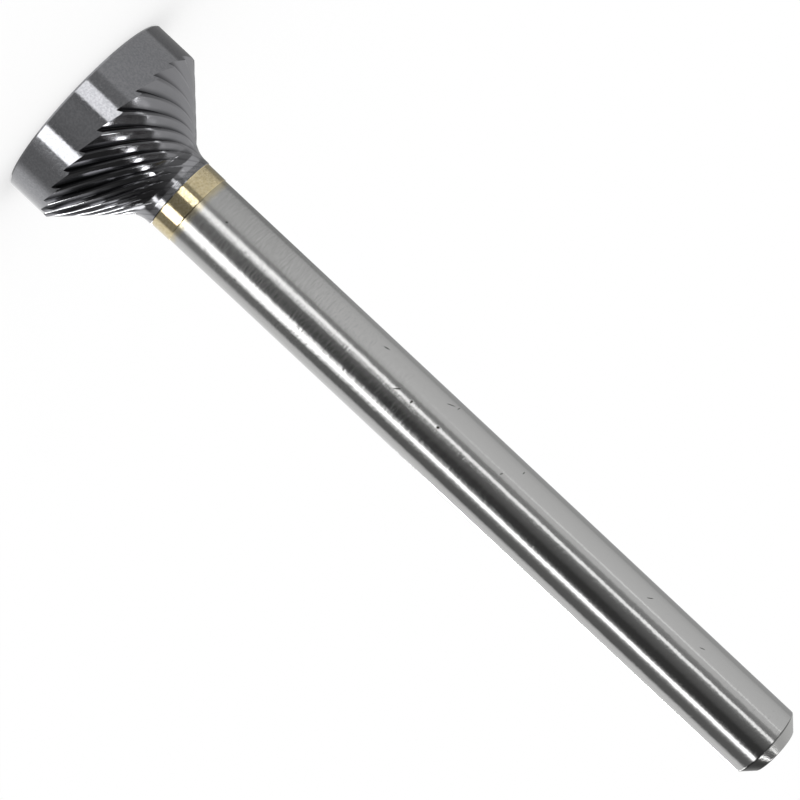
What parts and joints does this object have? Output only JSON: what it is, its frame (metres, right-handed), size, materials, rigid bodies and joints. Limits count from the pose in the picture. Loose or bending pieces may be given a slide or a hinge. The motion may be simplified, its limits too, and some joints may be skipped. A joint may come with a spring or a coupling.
{
  "type": "carbide burr",
  "caption": "Rotary burr with a back-tapering fluted carbide head, a braze ring and a plain steel shank.",
  "frame": {"origin": "centre of the head's flat front face, where the burr stands", "axes": "+Z along the tool's axis, from the head's front face to the shank's end; X and Y are any two directions across it"},
  "size_m": [0.016, 0.016, 0.07],
  "materials": {
    "sintered_carbide": "gloss",
    "braze": "satin",
    "ground_steel": "gloss"
  },
  "bodies": {
    "root": {"carbide_head": "sintered_carbide", "braze_ring": "braze", "steel_shank": "ground_steel"}
  },
  "joints": []
}
